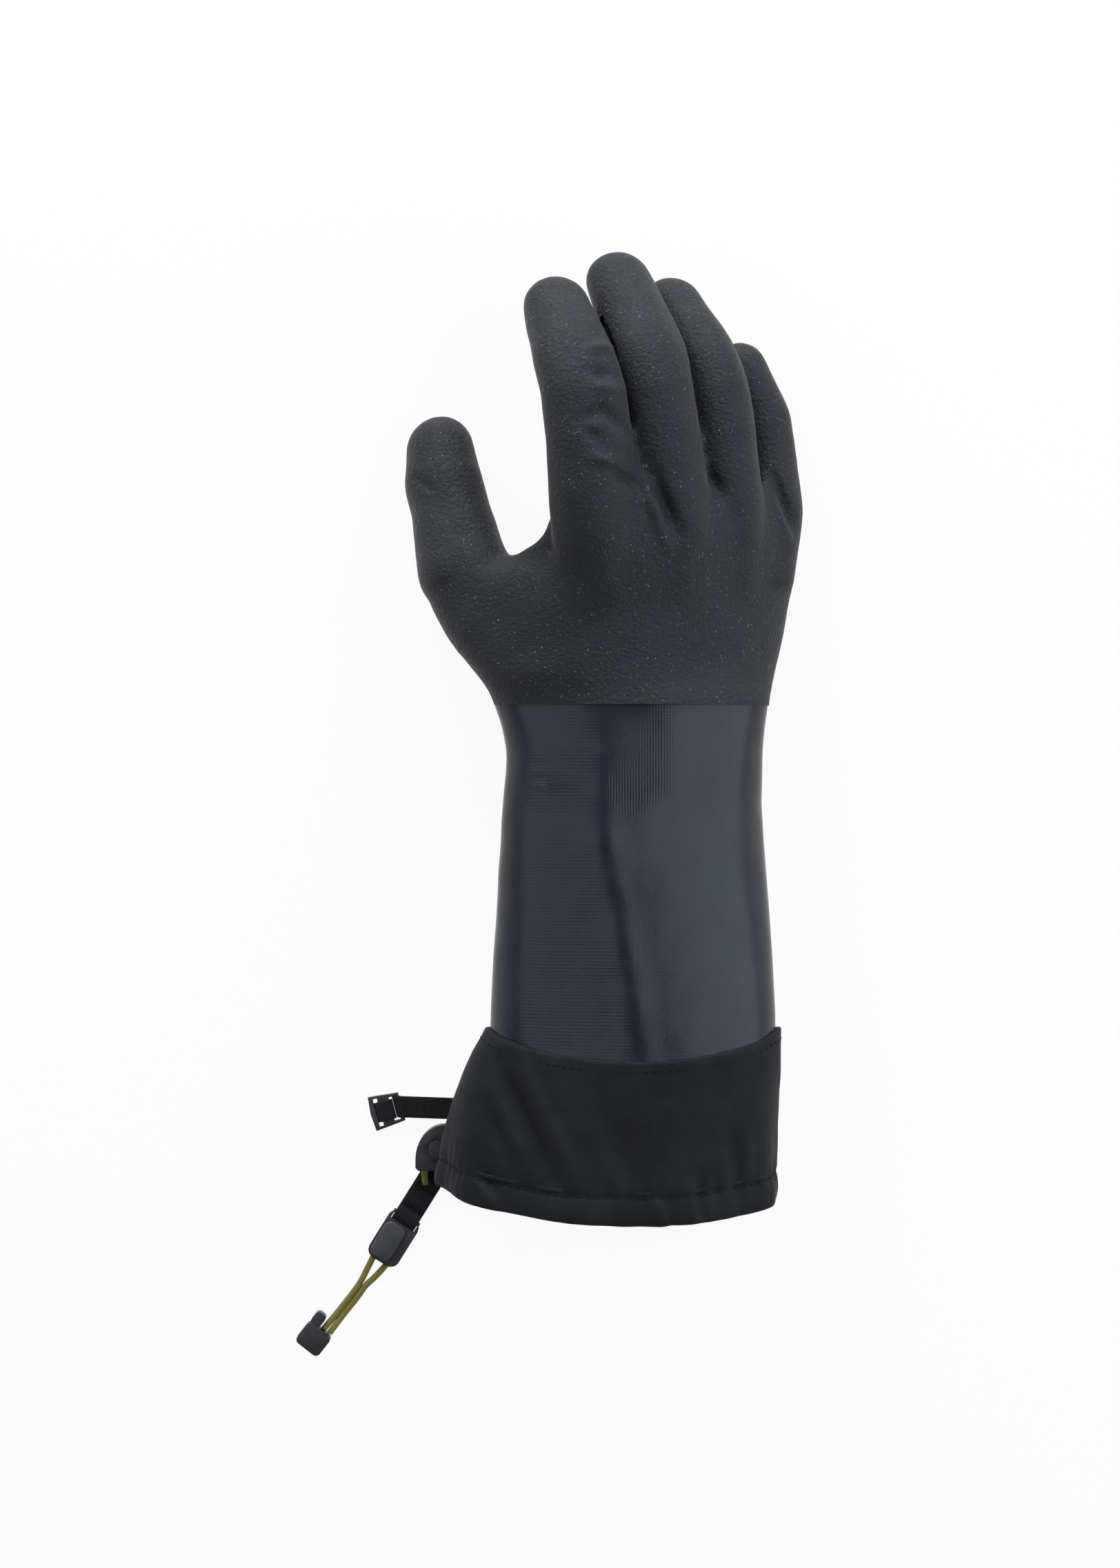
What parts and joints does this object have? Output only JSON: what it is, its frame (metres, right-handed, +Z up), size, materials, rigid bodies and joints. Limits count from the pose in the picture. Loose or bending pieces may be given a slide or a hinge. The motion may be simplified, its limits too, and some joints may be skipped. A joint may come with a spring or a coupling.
{
  "type": "insulated gauntlet glove",
  "caption": "Right-hand insulated cold-protection glove: dipped grip hand, smooth gauntlet, nylon cuff with drawcord hem, cord lock, cinch strap with ladder buckle, and leash clip",
  "frame": {"origin": "middle of the underside's bounding box, on the table the glove lies on (leash cords left out)", "axes": "+X runs across the hand to the little-finger side, +Y along the arm to the fingertips, +Z up from the palm to the back of the hand"},
  "size_m": [0.1946, 0.4226, 0.0793],
  "materials": {
    "grip_coat": "matte, sandy micro-grain",
    "smooth_coat": "satin, finely ribbed by the knit beneath",
    "fleece": "brushed pile",
    "nylon": "plain weave, slight sheen",
    "thread": "twisted sewing thread",
    "webbing": "ribbed webbing",
    "black_plastic": "satin moulding",
    "panel_plastic": "smooth satin moulding",
    "olive_cord": "fine braid",
    "spring_steel": "bright"
  },
  "bodies": {
    "glove": {"hand_shell": "grip_coat", "hand_lining": "fleece", "gauntlet_sleeve": "smooth_coat", "gauntlet_lining": "fleece", "index_knuckle": "grip_coat", "middle_knuckle": "grip_coat", "ring_knuckle": "grip_coat", "little_knuckle": "grip_coat", "thumb_knuckle": "grip_coat", "index_knuckle_lining": "fleece", "middle_knuckle_lining": "fleece", "ring_knuckle_lining": "fleece", "little_knuckle_lining": "fleece", "thumb_knuckle_lining": "fleece", "nylon_cuff": "nylon", "cuff_seam_stitching": "thread", "hem_facing": "nylon", "hem_stitching": "thread", "hem_drawcord": "olive_cord", "cord_lock_body": "black_plastic", "cord_lock_spring": "spring_steel", "cord_lock_anchor": "webbing", "strap_anchor": "webbing", "strap_bar_tack": "thread", "pull_tab": "webbing", "pull_tab_bar_tack": "thread"},
    "index_fingertip": {"index_tip": "grip_coat", "index_tip_lining": "fleece"},
    "middle_fingertip": {"middle_tip": "grip_coat", "middle_tip_lining": "fleece"},
    "ring_fingertip": {"ring_tip": "grip_coat", "ring_tip_lining": "fleece"},
    "little_fingertip": {"little_tip": "grip_coat", "little_tip_lining": "fleece"},
    "thumb_fingertip": {"thumb_tip": "grip_coat", "thumb_tip_lining": "fleece"},
    "lock_plunger": {"cord_lock_plunger": "panel_plastic"},
    "strap": {"cinch_strap": "webbing"},
    "buckle": {"ladder_buckle": "black_plastic"},
    "leash_clip": {"leash_clip_base": "black_plastic", "leash_clip_cover": "panel_plastic", "leash_cord_left": "olive_cord", "leash_cord_right": "olive_cord", "leash_cord_end": "black_plastic"}
  },
  "joints": [
    {"name": "index_bend", "type": "hinge", "parent": "glove", "child": "index_fingertip", "pos_m": [0.00044, 0.12904, 0.0655], "axis": [-0.857, -0.1327, 0.4979], "range_deg": [-30, 40], "stiffness_Nm_per_rad": 0.3, "deforming": ["index_knuckle", "index_knuckle_lining"]},
    {"name": "middle_bend", "type": "hinge", "parent": "glove", "child": "middle_fingertip", "pos_m": [0.02794, 0.13404, 0.052], "axis": [-0.8515, -0.1633, 0.4983], "range_deg": [-30, 24], "stiffness_Nm_per_rad": 0.3, "deforming": ["middle_knuckle", "middle_knuckle_lining"]},
    {"name": "ring_bend", "type": "hinge", "parent": "glove", "child": "ring_fingertip", "pos_m": [0.05134, 0.13304, 0.034], "axis": [-0.8525, -0.1359, 0.5047], "range_deg": [-30, 9], "stiffness_Nm_per_rad": 0.3, "deforming": ["ring_knuckle", "ring_knuckle_lining"]},
    {"name": "little_bend", "type": "hinge", "parent": "glove", "child": "little_fingertip", "pos_m": [0.07034, 0.12454, 0.011], "axis": [-0.859, -0.0773, 0.5062], "range_deg": [-30, 1.5], "stiffness_Nm_per_rad": 0.3, "deforming": ["little_knuckle", "little_knuckle_lining"]},
    {"name": "thumb_bend", "type": "hinge", "parent": "glove", "child": "thumb_fingertip", "pos_m": [-0.05206, 0.10104, 0.0185], "axis": [-0.7174, -0.3794, -0.5842], "range_deg": [-30, 2.5], "stiffness_Nm_per_rad": 0.3, "deforming": ["thumb_knuckle", "thumb_knuckle_lining"]},
    {"name": "plunger_press", "type": "slide", "parent": "glove", "child": "lock_plunger", "axis": [0, 0, -1], "range_m": [0, 0.0015], "stiffness_N_per_m": 600, "deforming": ["cord_lock_spring"]},
    {"name": "strap_swing", "type": "hinge", "parent": "glove", "child": "strap", "pos_m": [-0.05106, -0.13316, 0.002], "axis": [0.0349, 0.9994, 0], "range_deg": [0, 65]},
    {"name": "buckle_swing", "type": "hinge", "parent": "strap", "child": "buckle", "pos_m": [-0.07125, -0.13246, 0.002], "axis": [-0.2588, 0.9659, 0], "range_deg": [0, 45]},
    {"name": "clip_swing", "type": "hinge", "parent": "glove", "child": "leash_clip", "pos_m": [-0.06856, -0.17536, 0.0023], "axis": [-0.848, 0.5299, 0], "range_deg": [0, 80]}
  ]
}
